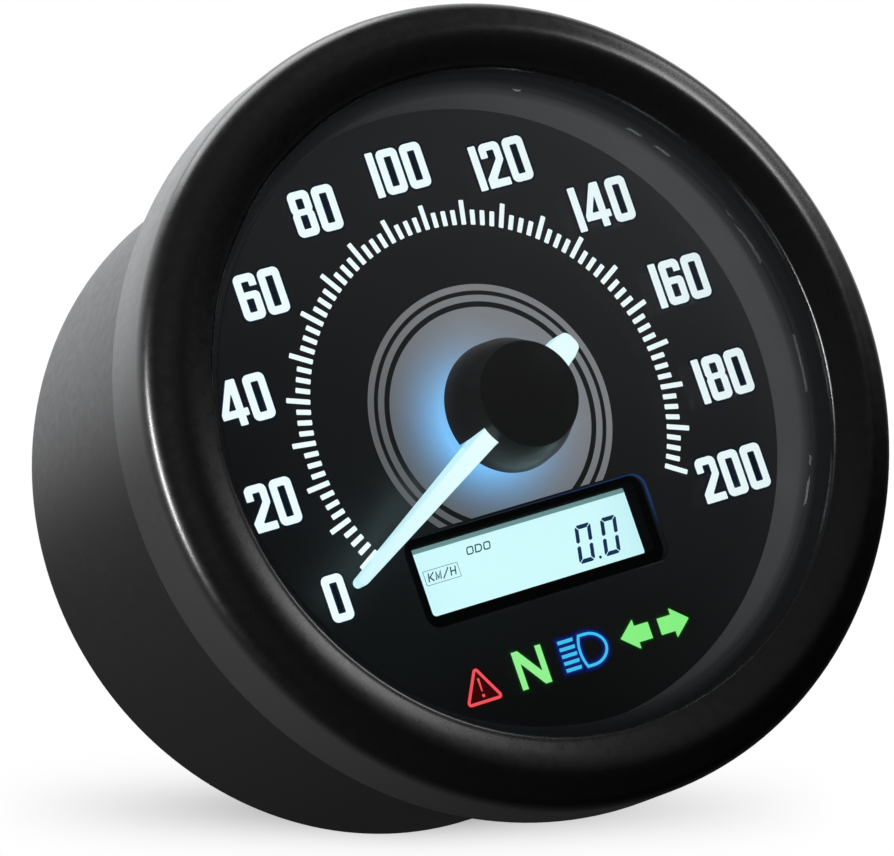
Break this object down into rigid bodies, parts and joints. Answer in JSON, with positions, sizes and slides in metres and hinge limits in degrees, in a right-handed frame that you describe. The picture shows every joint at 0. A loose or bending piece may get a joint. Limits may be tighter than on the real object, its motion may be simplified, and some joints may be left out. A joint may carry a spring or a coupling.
{
  "type": "instrument cluster",
  "caption": "Round motorcycle speedometer: lit needle on a stepper movement, odometer window and tell-tales under a domed lens, in a black case with two rear studs.",
  "frame": {"origin": "centre of the two mounting studs, on the back face", "axes": "the dial faces -Y, +Y runs out of the back along the studs, +Z is twelve o'clock and +X is three o'clock seen from the front"},
  "size_m": [0.08, 0.0586, 0.08],
  "materials": {
    "case_metal": "satin black powder coat",
    "bezel_metal": "satin black, fine grain",
    "cover_metal": "satin black",
    "lens_glass": "polished",
    "rubber": "matt",
    "black_plastic": "fine moulded",
    "trim_plastic": "satin",
    "cap_plastic": "satin",
    "dial_print": "screen-printed satin black",
    "display_glass": "lit liquid-crystal glass",
    "backlight": "translucent",
    "white_plastic": "moulded",
    "guide_clear": "polished",
    "lamp": "moulded",
    "board_green": "solder mask",
    "chip_black": "moulded",
    "can_grey": "sleeved can",
    "socket_cream": "moulded",
    "movement_plastic": "moulded",
    "gear_plastic": "moulded",
    "magnet": "bonded ferrite",
    "steel": "zinc plated",
    "dark_steel": "black zinc",
    "silicon_steel": "laminated",
    "brass": "turned",
    "copper": "enamelled winding",
    "needle_lit": "lit translucent",
    "plunger_red": "moulded"
  },
  "bodies": {
    "case": {"bezel_ring": "bezel_metal", "lens": "lens_glass", "lens_gasket": "rubber", "trim_ring": "trim_plastic", "dial_plate": "dial_print", "window_frame": "black_plastic", "display_panel": "display_glass", "display_backlight": "backlight", "display_holder": "white_plastic", "light_guide": "guide_clear", "light_box": "white_plastic", "telltale_block": "black_plastic", "indicator_lamps": "lamp", "dial_lamps": "lamp", "circuit_board": "board_green", "board_screws": "steel", "processor_chip": "chip_black", "capacitors": "can_grey", "wire_socket": "socket_cream", "tact_switch": "chip_black", "motor_case": "movement_plastic", "motor_cover": "movement_plastic", "motor_coils": "copper", "motor_stator": "silicon_steel", "motor_terminals": "brass", "housing": "case_metal", "rear_cover": "cover_metal", "cover_seal": "rubber", "cover_screws": "dark_steel", "mounting_studs": "steel", "cable_grommet": "rubber", "vent_plug": "black_plastic", "button_collar": "black_plastic"},
    "needle": {"needle": "needle_lit", "needle_cap": "cap_plastic", "needle_bush": "brass", "output_shaft": "steel", "output_wheel": "gear_plastic"},
    "intermediate": {"intermediate_wheel": "gear_plastic"},
    "rotor": {"rotor": "magnet"},
    "mode_button": {"mode_button": "black_plastic", "button_rod": "gear_plastic", "switch_plunger": "plunger_red"}
  },
  "joints": [
    {"name": "needle_sweep", "type": "hinge", "parent": "case", "child": "needle", "pos_m": [0, -0.0356, 0.0004], "axis": [0, 1, 0], "range_deg": [0, 240]},
    {"name": "intermediate_spin", "type": "hinge", "parent": "case", "child": "intermediate", "pos_m": [-0.00369, -0.0356, 0.01055], "axis": [0, 1, 0], "range_deg": [-1200, 0]},
    {"name": "rotor_spin", "type": "hinge", "parent": "case", "child": "rotor", "pos_m": [0.00335, -0.0356, 0.01311], "axis": [0, 1, 0], "range_deg": [0, 4800]},
    {"name": "button_press", "type": "slide", "parent": "case", "child": "mode_button", "axis": [0, -1, 0], "range_m": [0, 0.0008], "stiffness_N_per_m": 900, "springref_m": -0.0008}
  ],
  "couplings": [
    {"joint": "intermediate_spin", "follows": "needle_sweep", "ratio": -5},
    {"joint": "rotor_spin", "follows": "needle_sweep", "ratio": 20}
  ]
}
